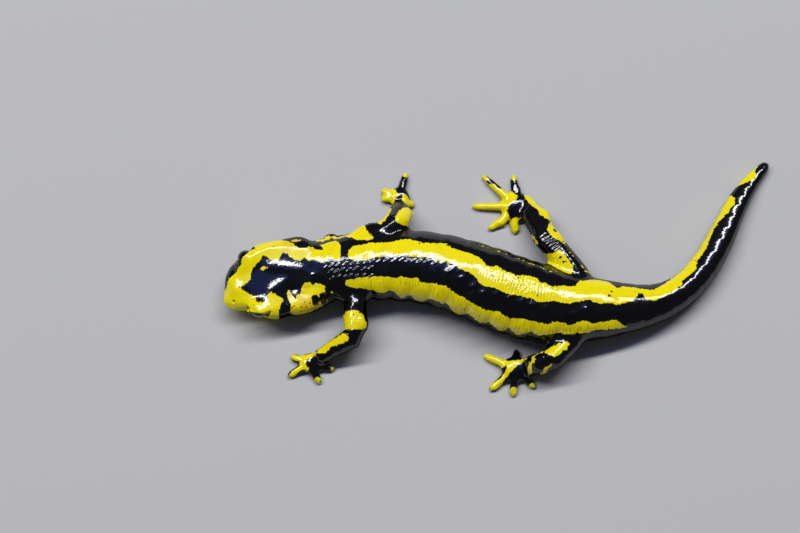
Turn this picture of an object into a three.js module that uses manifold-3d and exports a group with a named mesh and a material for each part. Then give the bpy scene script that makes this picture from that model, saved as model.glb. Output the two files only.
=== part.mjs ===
// Fire salamander, life size, at rest on a flat floor: a still, museum-style model.
//
// Millimetres, +Z up. The animal faces -X and lies along X, so its right side is towards +Y.
// The origin is at the middle of the model's bounding box, on the floor.
//
// The flesh is modelled as one long body and four limbs, then parted with thin cuts into the
// pieces that a person would name. Everything below the floor is trimmed away, which leaves the
// small flats that the belly, the tail and the four feet rest on.
import * as THREE from "three";
import { mergeVertices } from "three/addons/utils/BufferGeometryUtils.js";
import Module from "manifold-3d";

const wasm = await Module();
wasm.setup();

// ---------------------------------------------------------------- driving dimensions
const TOTAL_LENGTH = 183; // from the snout to the tail tip, along the spine
const CUT = 0.3; // width of every parting cut
const SNOUT_RADIUS = 8; // the snout is a half circle seen from above
const SNOUT_BLUNTNESS = 3.6; // how far back the snout's front rounds off in side view
const TAIL_TIP_ROUNDING = 3;
const BELLY_SQUARENESS = 2.5; // superellipse power of the lower half of every body section
const BODY_SIDES = 22;
const SLIVER = 0.05; // faces finer than this are merged into their neighbours

// The body, section by section: distance behind the snout, heading of the spine in degrees
// (0 runs straight back along +X, and a positive heading swings towards the right side), half
// width, then the heights of the underside, of the widest line and of the back, and the
// superellipse power of the upper half.
const SECTIONS = [
  // at, heading, half width, underside, widest, back, squareness
  [0, 16.5, 8.3, 3.9, 5.6, 7.9, 2.6],
  [6, 16.5, 8.7, 3.1, 5.8, 9.6, 2.5],
  [12, 11.5, 10.0, 2.7, 5.9, 11.2, 2.5],
  [16, 7.5, 10.7, 2.4, 6.1, 12.0, 2.5],
  [20, 7, 11.0, 2.2, 6.2, 12.4, 2.4],
  [24, 10.5, 10.7, 2.2, 6.3, 12.5, 2.4],
  [28, 13, 9.5, 2.2, 6.5, 12.5, 2.3],
  [32, 11, 9.1, 1.6, 6.8, 12.9, 2.2],
  [40, 4.5, 9.8, 0.3, 7.0, 14.3, 2.1],
  [55, -5, 10.4, -0.4, 7.2, 15.8, 2.1],
  [66, -17, 10.8, -0.5, 7.3, 16.6, 2.1],
  [77, -21, 11.4, -0.6, 7.4, 17.0, 2.1],
  [87, -18, 11.6, -0.6, 7.4, 16.8, 2.1],
  [96, -10, 11.0, -0.5, 7.3, 16.2, 2.1],
  [105, -2, 9.6, -0.3, 7.0, 15.0, 2.1],
  [115, 3, 8.0, 0.5, 6.6, 13.4, 2.1],
  [124, 11, 6.2, 0.3, 5.8, 11.4, 2.0],
  [133, 30, 5.0, -0.3, 4.7, 9.9, 1.9],
  [143, 49, 4.3, -0.35, 4.1, 8.7, 1.9],
  [153, 60, 3.7, -0.35, 3.6, 7.5, 1.9],
  [163, 64, 3.0, -0.35, 3.0, 6.1, 1.9],
  [173, 56, 2.2, -0.3, 2.1, 4.4, 1.9],
  [TOTAL_LENGTH, 46, 1.2, -0.2, 1.2, 2.6, 2.0],
];
const [AT, HEADING, HALF_WIDTH, UNDERSIDE, WIDEST, BACK, SQUARENESS] = SECTIONS[0].keys();

// Where the body is parted, by distance behind the snout, and the name of the piece ahead.
const BODY_PIECES = [
  ["head", 28.6],
  ["neck", 36],
  ["trunk_chest", 60],
  ["trunk_belly", 88],
  ["trunk_hips", 118],
  ["tail_base", 140],
  ["tail_middle", 162],
  ["tail_tip", TOTAL_LENGTH],
];

// ---------------------------------------------------------------- small helpers
const radians = THREE.MathUtils.degToRad;
const SIDE_SIGN = { right: 1, left: -1 };

// A smooth curve through one column of a table whose first column is the distance.
function profile(table, column) {
  const slope = (i) => {
    const before = table[Math.max(i - 1, 0)];
    const after = table[Math.min(i + 1, table.length - 1)];
    return (after[column] - before[column]) / (after[AT] - before[AT]);
  };
  return (at) => {
    const past = table.findIndex((row) => row[AT] > at);
    const next = past < 0 ? table.length - 1 : Math.max(past, 1);
    const [a, b] = [table[next - 1], table[next]];
    const span = b[AT] - a[AT];
    const t = THREE.MathUtils.clamp((at - a[AT]) / span, 0, 1);
    const [t2, t3] = [t * t, t * t * t];
    return (
      (2 * t3 - 3 * t2 + 1) * a[column] +
      (t3 - 2 * t2 + t) * span * slope(next - 1) +
      (3 * t2 - 2 * t3) * b[column] +
      (t3 - t2) * span * slope(next)
    );
  };
}

// The share of full size left at a distance from an end that rounds off over a radius.
function rounding(distance, radius) {
  const t = THREE.MathUtils.clamp(1 - distance / radius, 0, 1);
  return Math.sqrt(1 - t * t);
}

// A closed geometry through rings of equal counts of points, with a fan at each end.
function loft(rings, firstTip, lastTip) {
  const sides = rings[0].length;
  const points = [firstTip, ...rings.flat(), lastTip];
  const last = points.length - 1;
  const faces = [];
  for (let side = 0; side < sides; side++) {
    const next = (side + 1) % sides;
    faces.push(0, 1 + next, 1 + side);
    for (let ring = 0; ring < rings.length - 1; ring++) {
      const here = 1 + ring * sides;
      const there = here + sides;
      faces.push(here + side, here + next, there + side);
      faces.push(here + next, there + next, there + side);
    }
    const end = 1 + (rings.length - 1) * sides;
    faces.push(last, end + side, end + next);
  }
  return new THREE.BufferGeometry().setFromPoints(points).setIndex(faces);
}

// A closed geometry as a manifold solid, turned so that its faces point out.
function solidOf(geometry) {
  const bare = new THREE.BufferGeometry();
  bare.setAttribute("position", geometry.getAttribute("position"));
  bare.setIndex(geometry.index);
  const merged = mergeVertices(bare, 1e-4);
  const vertProperties = merged.attributes.position.array;
  const triVerts = new Uint32Array(merged.index.array);
  const make = () => new wasm.Manifold(new wasm.Mesh({ numProp: 3, vertProperties, triVerts }));
  const made = make();
  if (made.volume() > 0) return made;
  for (let i = 0; i < triVerts.length; i += 3) {
    [triVerts[i + 1], triVerts[i + 2]] = [triVerts[i + 2], triVerts[i + 1]];
  }
  return make();
}

// ---------------------------------------------------------------- spine and body sections
const SPINE_STEP = 0.5;
const headingAt = profile(SECTIONS, HEADING);
const spineSteps = [new THREE.Vector2(0, 0)];
for (let at = 0; at < TOTAL_LENGTH; at += SPINE_STEP) {
  const heading = radians(headingAt(at + SPINE_STEP / 2));
  const step = new THREE.Vector2(Math.cos(heading), Math.sin(heading)).multiplyScalar(SPINE_STEP);
  spineSteps.push(spineSteps.at(-1).clone().add(step));
}

// The point at a distance behind the snout, sideways to the right of the spine, at a height.
function onSpine(at, rightwards, height) {
  const index = Math.min(Math.floor(at / SPINE_STEP), spineSteps.length - 2);
  const along = at / SPINE_STEP - index;
  const middle = spineSteps[index].clone().lerp(spineSteps[index + 1], along);
  const heading = radians(headingAt(at));
  return new THREE.Vector3(
    middle.x - Math.sin(heading) * rightwards,
    middle.y + Math.cos(heading) * rightwards,
    height,
  );
}

const halfWidthAt = profile(SECTIONS, HALF_WIDTH);
const undersideAt = profile(SECTIONS, UNDERSIDE);
const widestAt = profile(SECTIONS, WIDEST);
const backAt = profile(SECTIONS, BACK);
const squarenessAt = profile(SECTIONS, SQUARENESS);

// One ring of the body: a superellipse with a flatter lower half, rounded off at both ends.
function bodyRing(at, grow) {
  const tail = rounding(TOTAL_LENGTH - at, TAIL_TIP_ROUNDING);
  const width = halfWidthAt(at) * rounding(at, SNOUT_RADIUS) * tail + grow;
  const depth = rounding(at, SNOUT_BLUNTNESS) * tail;
  const middle = widestAt(at);
  const rise = (backAt(at) - middle) * depth + grow;
  const drop = (middle - undersideAt(at)) * depth + grow;
  const ring = [];
  for (let side = 0; side < BODY_SIDES; side++) {
    const angle = (2 * Math.PI * side) / BODY_SIDES;
    const [cos, sin] = [Math.cos(angle), Math.sin(angle)];
    const power = 2 / (sin > 0 ? squarenessAt(at) : BELLY_SQUARENESS);
    const sideways = Math.sign(cos) * width * Math.abs(cos) ** power;
    const upwards = (sin > 0 ? rise : -drop) * Math.abs(sin) ** power;
    ring.push(onSpine(at, sideways, middle + upwards));
  }
  return ring;
}

// Ring distances: close together round the snout, wider in the head and widest behind it.
function ringDistances() {
  const SNOUT_RINGS = 5;
  const HEAD_STEP = 2;
  const TRUNK_STEP = 3.5;
  const distances = [];
  for (let i = 1; i <= SNOUT_RINGS; i++) {
    distances.push(SNOUT_RADIUS * (1 - Math.cos((i * Math.PI) / 2 / SNOUT_RINGS)));
  }
  while (distances.at(-1) < TOTAL_LENGTH - TAIL_TIP_ROUNDING) {
    distances.push(distances.at(-1) + (distances.at(-1) < 30 ? HEAD_STEP : TRUNK_STEP));
  }
  distances.pop();
  const TIP_SHARES = [0, 0.5, 0.85, 0.98];
  return distances.concat(TIP_SHARES.map((t) => TOTAL_LENGTH - TAIL_TIP_ROUNDING * (1 - t)));
}

function bodySolid(grow = 0) {
  const rings = ringDistances().map((at) => bodyRing(at, grow));
  const snout = onSpine(0, 0, widestAt(0));
  const tip = onSpine(TOTAL_LENGTH, 0, widestAt(TOTAL_LENGTH));
  return solidOf(loft(rings, snout, tip));
}

// An egg shape lying along the spine, with its radii lengthwise, sideways and upwards.
function egg({ at, sideways, height, radii, turn = 0, tilt = 0 }, grow = 0) {
  const [along, across, up] = radii;
  const ball = new THREE.SphereGeometry(1, 14, 8);
  ball.scale(along + grow, across + grow, up + grow);
  ball.rotateY(radians(tilt));
  ball.rotateZ(radians(headingAt(at) + turn));
  const centre = onSpine(at, sideways, height);
  return solidOf(ball.translate(centre.x, centre.y, centre.z));
}

// A cutter: a box centred on a point, with its x axis along a direction.
function slab(centre, direction, size) {
  const box = new THREE.BoxGeometry(...size);
  const turn = new THREE.Quaternion();
  turn.setFromUnitVectors(new THREE.Vector3(1, 0, 0), direction.clone().normalize());
  box.applyQuaternion(turn);
  return solidOf(box.translate(centre.x, centre.y, centre.z));
}

const FLOOR_DEPTH = 20;
const underFloor = slab(
  new THREE.Vector3(TOTAL_LENGTH / 2, 0, -FLOOR_DEPTH / 2),
  new THREE.Vector3(1, 0, 0),
  [TOTAL_LENGTH * 2, TOTAL_LENGTH * 2, FLOOR_DEPTH],
);

// ---------------------------------------------------------------- head: eyes, lids, glands
const EYE_RADIUS = 2.5;
const EYE = { at: 8.1, sideways: 7.5, height: 8.6, radii: [EYE_RADIUS, EYE_RADIUS, EYE_RADIUS] };
// The upper lid is a swelling that roofs the eye and ends in a rim just above its middle.
const LID = { at: 9.2, sideways: 6.1, height: 9.6, radii: [4.4, 2.8, 2.5], turn: 8 };
// The cheek below and behind the eye, over the jaw muscle.
const CHEEK = { at: 14, sideways: 8, height: 6.6, radii: [6.4, 3.3, 3.2], turn: 6 };
// The parotoid gland is a long swelling from behind the eye to the side of the neck.
const PAROTOID = { at: 21, sideways: 7.9, height: 8.9, radii: [6.9, 3.3, 3.5], turn: -5, tilt: 3 };
// The mouth: the lower jaw is the flesh under the mouth line, ahead of the jaw's hinge.
const MOUTH_HEIGHT = 5.2;
const JAW_HINGE = 15.5;
// Vent swelling under the base of the tail.
const VENT = { at: 113.5, sideways: 0, height: 1.4, radii: [5.2, 2.7, 1.9] };

const mirrored = (shape, side) => ({
  ...shape,
  sideways: shape.sideways * SIDE_SIGN[side],
  turn: (shape.turn ?? 0) * SIDE_SIGN[side],
});

// ---------------------------------------------------------------- limbs
// Radii down a limb, by the share of the way from its root to the middle of the palm.
const FORE_RADII = [[0, 3.6], [0.3, 3.3], [0.5, 3.1], [0.7, 2.6], [0.88, 2.2], [1, 2.3]];
const HIND_RADII = [[0, 4.6], [0.25, 4.2], [0.5, 3.4], [0.7, 3.2], [0.88, 2.8], [1, 2.6]];
const FORE_PALM = [3.0, 2.8, 1.7]; // half length, half width and half height
const HIND_PALM = [3.9, 3.6, 1.9];
const DIGIT_BASE_RADIUS = 1.3;
const DIGIT_TIP_RADIUS = 0.95;
const LIMB_SIDES = 12;
const LIMB_RINGS = 12;
const DIGIT_SIDES = 7;
const DIGIT_RINGS = 5;
const WRIST_SHARE = 0.3; // where a hand or a foot is parted, from the ankle to the palm

// Each limb: its root in the body; its joints as [along X, along Y, height], measured from the
// snout; and its digits from the inner to the outer, each as [heading, length from the palm].
const LIMBS = [
  {
    names: ["foreleg_right_upper", "foreleg_right_lower", "hand_right"],
    root: { at: 41.5, sideways: 6, height: 8 },
    bend: [50.2, 20.4, 9.6],
    ankle: [50.4, 26.6, 3.1],
    palm: [50.0, 29.2, 1.5],
    radii: FORE_RADII,
    palmSize: FORE_PALM,
    digits: [[184, 5.2], [156, 5.6], [75, 6.7], [330, 4.9]],
  },
  {
    names: ["foreleg_left_upper", "foreleg_left_lower", "hand_left"],
    root: { at: 37.5, sideways: -6, height: 7.8 },
    bend: [37.3, -12.6, 8.4],
    ankle: [26.6, -18.5, 3.1],
    palm: [24.1, -19.8, 1.5],
    radii: FORE_RADII,
    palmSize: FORE_PALM,
    digits: [[160, 5.9], [211, 7.3], [294, 5.9], [344, 6.4]],
  },
  {
    names: ["hindleg_right_upper", "hindleg_right_lower", "foot_right"],
    root: { at: 106.5, sideways: 5, height: 6.8 },
    bend: [94.0, 14.4, 8.0],
    ankle: [87.3, 24.8, 3.4],
    palm: [84.4, 26.4, 1.6],
    radii: HIND_RADII,
    palmSize: HIND_PALM,
    digits: [[262, 7.4], [220, 10.0], [179, 12.3], [136, 12.6], [95, 8.6]],
  },
  {
    names: ["hindleg_left_upper", "hindleg_left_lower", "foot_left"],
    root: { at: 105, sideways: -4.5, height: 6.8 },
    bend: [93.3, -20.0, 9.0],
    ankle: [87.0, -21.1, 3.2],
    palm: [83.5, -21.6, 1.6],
    radii: HIND_RADII,
    palmSize: HIND_PALM,
    digits: [[84, 5.8], [155, 10.0], [219, 9.2], [266, 7.8], [318, 7.3]],
  },
];

// A round-ended tube along a curve, with its radius set by the share of the way along.
function tube(curve, radiusAt, sides, steps) {
  const length = curve.getLength();
  const up = new THREE.Vector3(0, 0, 1);
  const rings = [];
  for (let step = 0; step <= steps; step++) {
    // The rings crowd towards both ends, where the tube rounds off.
    const share = 0.5 - 0.5 * Math.cos((Math.PI * (step + 0.35)) / (steps + 0.7));
    const centre = curve.getPointAt(share);
    const forward = curve.getTangentAt(share);
    const across = new THREE.Vector3().crossVectors(up, forward).normalize();
    const upwards = new THREE.Vector3().crossVectors(forward, across);
    const full = radiusAt(share);
    const end = Math.min(share, 1 - share) * length;
    const radius = full * rounding(end, full);
    const ring = [];
    for (let side = 0; side < sides; side++) {
      const angle = (2 * Math.PI * side) / sides;
      const offset = across.clone().multiplyScalar(Math.cos(angle) * radius);
      offset.addScaledVector(upwards, Math.sin(angle) * radius);
      ring.push(centre.clone().add(offset));
    }
    rings.push(ring);
  }
  return solidOf(loft(rings, curve.getPointAt(0), curve.getPointAt(1)));
}

// A digit: it leaves the palm, arches a little at its knuckle and rests on its rounded tip.
function digit(palm, heading, length) {
  const direction = new THREE.Vector3(Math.cos(radians(heading)), Math.sin(radians(heading)), 0);
  const at = (share, height) => {
    const point = palm.clone().addScaledVector(direction, length * share);
    return point.setZ(height);
  };
  const curve = new THREE.CatmullRomCurve3([at(0, 1.5), at(0.45, 1.45), at(0.75, 1.1), at(1, 0.8)]);
  const taper = DIGIT_BASE_RADIUS - DIGIT_TIP_RADIUS;
  const radiusAt = (share) => DIGIT_BASE_RADIUS - taper * Math.sin((Math.PI / 2) * share);
  return tube(curve, radiusAt, DIGIT_SIDES, DIGIT_RINGS);
}

function palmSolid(centre, heading, [halfLength, halfWidth, halfHeight]) {
  const ball = new THREE.SphereGeometry(1, 12, 8);
  ball.scale(halfLength, halfWidth, halfHeight);
  ball.rotateZ(heading);
  return solidOf(ball.translate(centre.x, centre.y, centre.z));
}

// The part of a solid that lies past a plane, with half a parting cut left in front of it.
function past(solid, point, direction) {
  const normal = direction.clone().normalize();
  return solid.trimByPlane(normal.toArray(), normal.dot(point) + CUT / 2);
}

// One limb, parted at its bend and at its ankle; the body, grown by the cut, takes its root off.
function limbPieces({ names, root, bend, ankle, palm, radii, palmSize, digits }, grownBody) {
  const start = onSpine(root.at, root.sideways, root.height);
  const [knee, wrist, middle] = [bend, ankle, palm].map((point) => new THREE.Vector3(...point));
  const halfway = (a, b) => a.clone().lerp(b, 0.5);
  const points = [start, halfway(start, knee), knee, halfway(knee, wrist), wrist, middle];
  const curve = new THREE.CatmullRomCurve3(points, false, "centripetal");
  const radiusAt = profile(radii, 1);
  const limb = tube(curve, radiusAt, LIMB_SIDES, LIMB_RINGS);
  const grownLimb = tube(curve, (share) => radiusAt(share) + CUT, LIMB_SIDES, LIMB_RINGS);

  const kneeWay = wrist.clone().sub(knee).normalize().add(knee.clone().sub(start).normalize());
  const wristWay = middle.clone().sub(wrist).setZ(0);
  const parting = wrist.clone().lerp(middle, WRIST_SHARE);
  const back = (direction) => direction.clone().negate();
  const upper = past(limb, knee, back(kneeWay));
  const lower = past(past(limb, knee, kneeWay), parting, back(wristWay));
  const palmBall = palmSolid(middle, Math.atan2(wristWay.y, wristWay.x), palmSize);
  let hand = past(palmBall, parting, wristWay);
  for (const [heading, length] of digits) hand = hand.add(digit(middle, heading, length));
  hand = hand.subtract(past(grownLimb, parting, back(wristWay)));
  const solids = [upper, lower, hand].map((solid) => largest(clear(solid, grownBody)));
  return solids.map((solid, i) => [names[i], solid]);
}

// A solid without what lies inside the body or under the floor.
function clear(solid, grownBody) {
  return solid.subtract(grownBody).subtract(underFloor);
}

function largest(solid) {
  return solid.decompose().sort((a, b) => b.volume() - a.volume())[0];
}

// ---------------------------------------------------------------- assembly
const pieces = [];
let flesh = bodySolid().add(egg(VENT));
for (const side of ["right", "left"]) {
  flesh = flesh.add(egg(mirrored(CHEEK, side))).add(egg(mirrored(LID, side)));
}
for (const side of ["right", "left"]) {
  const [eye, parotoid] = [EYE, PAROTOID].map((shape) => mirrored(shape, side));
  flesh = flesh.subtract(egg(eye, CUT)).subtract(egg(parotoid, CUT));
  pieces.push([`eye_${side}`, egg(eye)], [`parotoid_${side}`, egg(parotoid)]);
}
flesh = flesh.subtract(underFloor);

// The lower jaw is the flesh in a box under the mouth line, ahead of the jaw's hinge.
function jawBox(grow) {
  const DEPTH = 12;
  const centre = onSpine(JAW_HINGE - DEPTH, 0, MOUTH_HEIGHT - DEPTH / 2);
  const direction = onSpine(1, 0, 0).sub(onSpine(0, 0, 0));
  return slab(centre, direction, [2 * (DEPTH + grow), 40, DEPTH + 2 * grow]);
}
pieces.push(["lower_jaw", flesh.intersect(jawBox(0))]);
flesh = flesh.subtract(jawBox(CUT));

for (const [, at] of BODY_PIECES.slice(0, -1)) {
  const direction = onSpine(at + 1, 0, 0).sub(onSpine(at - 1, 0, 0));
  flesh = flesh.subtract(slab(onSpine(at, 0, 9), direction, [CUT, 34, 24]));
}
const lengths = flesh.decompose().filter((solid) => solid.volume() > 5);
lengths.sort((a, b) => a.boundingBox().min[0] - b.boundingBox().min[0]);
lengths.forEach((solid, i) => pieces.push([BODY_PIECES[i][0], solid]));

const grownBody = bodySolid(CUT);
for (const limb of LIMBS) pieces.push(...limbPieces(limb, grownBody));

// ---------------------------------------------------------------- materials and export
const blackSkin = new THREE.MeshStandardMaterial({ color: 0x14161c, roughness: 0.25, metalness: 0 });
const yellowSkin = new THREE.MeshStandardMaterial({ color: 0xf2e20a, roughness: 0.3, metalness: 0 });
const eyeBlack = new THREE.MeshStandardMaterial({ color: 0x08080a, roughness: 0.06, metalness: 0 });

function materialOf(name) {
  if (name.startsWith("eye")) return eyeBlack;
  return name.startsWith("parotoid") ? yellowSkin : blackSkin;
}

function meshOf(name, solid) {
  const { vertProperties, triVerts, numProp } = solid.getMesh();
  const geometry = new THREE.BufferGeometry();
  const positions = new Float32Array((vertProperties.length / numProp) * 3);
  for (let i = 0; i < positions.length / 3; i++) {
    positions.set(vertProperties.subarray(i * numProp, i * numProp + 3), i * 3);
  }
  geometry.setAttribute("position", new THREE.BufferAttribute(positions, 3));
  geometry.setIndex(new THREE.BufferAttribute(new Uint32Array(triVerts), 1));
  const mesh = new THREE.Mesh(geometry, materialOf(name));
  mesh.name = name;
  return mesh;
}

const salamander = new THREE.Group();
for (const [name, solid] of pieces) salamander.add(meshOf(name, solid.simplify(SLIVER)));

// The frame's origin: the middle of the bounding box, on the floor.
const box = new THREE.Box3().setFromObject(salamander);
const middle = box.getCenter(new THREE.Vector3());
salamander.position.set(-middle.x, -middle.y, -box.min.z);

export default salamander;
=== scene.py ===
# Life-size museum model of a fire salamander at rest, cast in one skin with two set-in eyes.
import math

import bmesh
import bpy
import numpy as np
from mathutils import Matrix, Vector, noise
from mathutils.bvhtree import BVHTree


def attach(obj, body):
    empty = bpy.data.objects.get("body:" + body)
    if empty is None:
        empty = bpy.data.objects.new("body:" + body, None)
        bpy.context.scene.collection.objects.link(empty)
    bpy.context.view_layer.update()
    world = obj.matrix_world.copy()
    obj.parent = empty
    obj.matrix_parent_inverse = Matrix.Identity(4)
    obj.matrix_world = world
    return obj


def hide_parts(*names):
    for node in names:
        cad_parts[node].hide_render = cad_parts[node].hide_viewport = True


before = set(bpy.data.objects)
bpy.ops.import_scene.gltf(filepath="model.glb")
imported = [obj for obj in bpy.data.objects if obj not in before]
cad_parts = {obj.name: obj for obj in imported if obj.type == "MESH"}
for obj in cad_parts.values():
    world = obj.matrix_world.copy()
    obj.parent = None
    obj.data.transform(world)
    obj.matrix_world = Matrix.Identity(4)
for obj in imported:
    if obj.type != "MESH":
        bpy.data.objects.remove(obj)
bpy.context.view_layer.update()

# ---------------------------------------------------------------- camera
# A studio camera high over the back and a little to the animal's left, with the head at the
# left of the frame. It stands where the whole animal fills the middle.
MM = 0.001
CAMERA_AIM = Vector((-29.09, 2.71, 6.0)) * MM
CAMERA_DISTANCE = 600 * MM
CAMERA_ELEVATION = math.radians(80)
MM_PER_IMAGE_WIDTH = 0.29 * 800
SENSOR_WIDTH = 36

camera = bpy.data.objects.new("camera", bpy.data.cameras.new("camera"))
bpy.context.scene.collection.objects.link(camera)
bpy.context.scene.camera = camera
camera.data.sensor_width = SENSOR_WIDTH
camera.data.lens = SENSOR_WIDTH * CAMERA_DISTANCE / (MM_PER_IMAGE_WIDTH * MM)
camera.data.clip_start = 0.01
back_from_aim = Vector((0, -math.cos(CAMERA_ELEVATION), math.sin(CAMERA_ELEVATION)))
camera.location = CAMERA_AIM + back_from_aim * CAMERA_DISTANCE
camera.rotation_mode = "QUATERNION"
camera.rotation_quaternion = (-back_from_aim).to_track_quat("-Z", "Y")

# ---------------------------------------------------------------- skin form
# The real animal wears one soft skin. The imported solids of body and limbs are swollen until
# the 0.3 mm partings close, cast as one shell, and relaxed until no facet is left.
CLOSING_SWELL = 0.32  # mm
CAST_GRAIN = 0.575  # mm between the points of the cast

flesh_nodes = sorted(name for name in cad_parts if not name.startswith("eye"))
casting = bmesh.new()
nearest_corners, nearest_faces, face_owner = [], [], []
for owner, name in enumerate(flesh_nodes):
    solid = bmesh.new()
    solid.from_mesh(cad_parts[name].data)
    bmesh.ops.scale(solid, vec=Vector((1 / MM,) * 3), verts=solid.verts)
    bmesh.ops.remove_doubles(solid, verts=solid.verts, dist=1e-3)
    solid.normal_update()
    first = len(nearest_corners)
    nearest_corners += [v.co.copy() for v in solid.verts]
    nearest_faces += [[first + v.index for v in face.verts] for face in solid.faces]
    face_owner += [owner] * len(solid.faces)
    for v in solid.verts:
        v.co += v.normal * CLOSING_SWELL
    swollen = bpy.data.meshes.new("swollen")
    solid.to_mesh(swollen)
    casting.from_mesh(swollen)
    solid.free()
solids_tree = BVHTree.FromPolygons(nearest_corners, nearest_faces)

cast_mesh = bpy.data.meshes.new("cast")
casting.to_mesh(cast_mesh)
casting.free()
cast_object = bpy.data.objects.new("cast", cast_mesh)
bpy.context.scene.collection.objects.link(cast_object)
remesh = cast_object.modifiers.new("cast", "REMESH")
remesh.mode = "VOXEL"
remesh.voxel_size = CAST_GRAIN
shell = bpy.data.meshes.new_from_object(
    cast_object.evaluated_get(bpy.context.evaluated_depsgraph_get())
)
bpy.data.objects.remove(cast_object)
skin = bmesh.new()
skin.from_mesh(shell)


def keep_largest_island(shape):
    """Leaves only the shell with the most points, so that no stray face is left."""
    unseen, islands = set(shape.verts), []
    while unseen:
        edge_of_search, island = [unseen.pop()], []
        while edge_of_search:
            v = edge_of_search.pop()
            island.append(v)
            for edge in v.link_edges:
                other = edge.other_vert(v)
                if other in unseen:
                    unseen.discard(other)
                    edge_of_search.append(other)
        islands.append(island)
    islands.sort(key=len)
    bmesh.ops.delete(shape, geom=[v for part in islands[:-1] for v in part], context="VERTS")
    shape.verts.index_update()


def points_of(shape):
    return np.array([v.co for v in shape.verts])


def normals_of(shape):
    shape.normal_update()
    return np.array([v.normal for v in shape.verts])


def links_of(shape):
    shape.verts.index_update()
    return np.array([[v.index for v in edge.verts] for edge in shape.edges])


def move_to(shape, points):
    for v, point in zip(shape.verts, points):
        v.co = point


def relaxed(values, links, share, rounds):
    """Values per point, each drawn by its share towards the mean of its neighbours."""
    values = np.array(values, float).reshape(len(values), -1)
    a, b = links.T
    count = len(values)
    neighbours = np.bincount(a, minlength=count) + np.bincount(b, minlength=count)
    share = np.broadcast_to(share, count)[:, None] / neighbours[:, None]
    for _ in range(rounds):
        sums = [
            np.bincount(a, values[b, k], count) + np.bincount(b, values[a, k], count)
            for k in range(values.shape[1])
        ]
        values = values + share * (np.stack(sums, 1) - values * neighbours[:, None])
    return values


def relaxed_form(points, links, share, rounds):
    """Relaxed points that keep their broad shape: what each pass lost is relaxed and given back."""
    form = relaxed(points, links, share, rounds)
    for _ in range(2):
        form = form + relaxed(points - form, links, share, rounds)
    return form


def parts_under(points):
    """Which points lie over the hands and feet, over the legs, and over the head."""
    owners = [flesh_nodes[face_owner[solids_tree.find_nearest(Vector(p))[2]]] for p in points]
    return [
        np.array([name.startswith(starts) for name in owners])
        for starts in (("hand", "foot"), ("fore", "hind"), ("head", "lower_jaw", "parotoid"))
    ]


def blend_in(values, start, end):
    """0 below start and 1 above end, with a smooth step between."""
    t = np.clip((values - start) / (end - start), 0, 1)
    return t * t * (3 - 2 * t)


keep_largest_island(skin)
points, links = points_of(skin), links_of(skin)
is_digits, is_leg, is_head = parts_under(points)
softness = np.where(is_digits, 0.07, np.where(is_leg, 0.28, np.where(is_head, 0.3, 0.5)))
softness = relaxed(softness, links, 0.5, 12)[:, 0]
points = relaxed_form(points, links, softness, 36)
move_to(skin, points)
points = points - normals_of(skin) * CLOSING_SWELL
move_to(skin, points)

# ---------------------------------------------------------------- places on the body
# Every mark and fold is placed by two measures taken on the skin in millimetres: how far behind
# the snout it lies along the spine, and how far round the body from the middle of the back.
SNOUT_TIP = np.array([-79.29, -5.09])  # on the plan
SPINE_STEP = 0.25
# Distance behind the snout, heading in degrees, half width, and height of the widest place.
STATIONS = np.array([
    (0, 16.5, 8.3, 5.6), (6, 16.5, 8.7, 5.8), (12, 11.5, 10.0, 5.9), (16, 7.5, 10.7, 6.1),
    (20, 7, 11.0, 6.2), (24, 10.5, 10.7, 6.3), (28, 13, 9.5, 6.5), (32, 11, 9.1, 6.8),
    (40, 4.5, 9.8, 7.0), (55, -5, 10.4, 7.2), (66, -17, 10.8, 7.3), (77, -21, 11.4, 7.4),
    (87, -18, 11.6, 7.4), (96, -10, 11.0, 7.3), (105, -2, 9.6, 7.0), (115, 3, 8.0, 6.6),
    (124, 11, 6.2, 5.8), (133, 30, 5.0, 4.7), (143, 49, 4.3, 4.1), (153, 60, 3.7, 3.6),
    (163, 64, 3.0, 3.0), (173, 56, 2.2, 2.1), (183, 46, 1.2, 1.2),
])
STATION_AT, HEADING, HALF_WIDTH, WIDEST = STATIONS.T
BODY_LENGTH = STATION_AT[-1]


def profile(column, at):
    """A smooth curve through the stations' values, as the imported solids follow."""
    slope = np.gradient(column, STATION_AT)
    slope[1:-1] = (column[2:] - column[:-2]) / (STATION_AT[2:] - STATION_AT[:-2])
    after = np.clip(np.searchsorted(STATION_AT, at, side="right"), 1, len(column) - 1)
    before = after - 1
    span = STATION_AT[after] - STATION_AT[before]
    t = np.clip((at - STATION_AT[before]) / span, 0, 1)
    return (
        (2 * t**3 - 3 * t**2 + 1) * column[before]
        + (t**3 - 2 * t**2 + t) * span * slope[before]
        + (3 * t**2 - 2 * t**3) * column[after]
        + (t**3 - t**2) * span * slope[after]
    )


spine_at = np.arange(0, BODY_LENGTH + SPINE_STEP / 2, SPINE_STEP)
spine_turns = np.radians(profile(HEADING, spine_at[:-1] + SPINE_STEP / 2))
steps = np.stack([np.cos(spine_turns), np.sin(spine_turns)], 1) * SPINE_STEP
spine_points = SNOUT_TIP + np.vstack([[0, 0], np.cumsum(steps, 0)])
spine_heading = np.radians(profile(HEADING, spine_at))


def places_of(points):
    """For each point: behind the snout, to the right of the spine, and round from the back."""
    nearest = np.concatenate([
        ((part[:, None, :2] - spine_points[None]) ** 2).sum(2).argmin(1)
        for part in np.array_split(points, 1 + len(points) // 5000)
    ])
    forward = np.stack([np.cos(spine_heading[nearest]), np.sin(spine_heading[nearest])], 1)
    offset = points[:, :2] - spine_points[nearest]
    at = spine_at[nearest] + (offset * forward).sum(1)
    right = offset[:, 1] * forward[:, 0] - offset[:, 0] * forward[:, 1]
    inside_at = np.clip(at, 0, BODY_LENGTH)
    above = points[:, 2] - profile(WIDEST, inside_at)
    return at, right, np.arctan2(right, above) * profile(HALF_WIDTH, inside_at)


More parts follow.
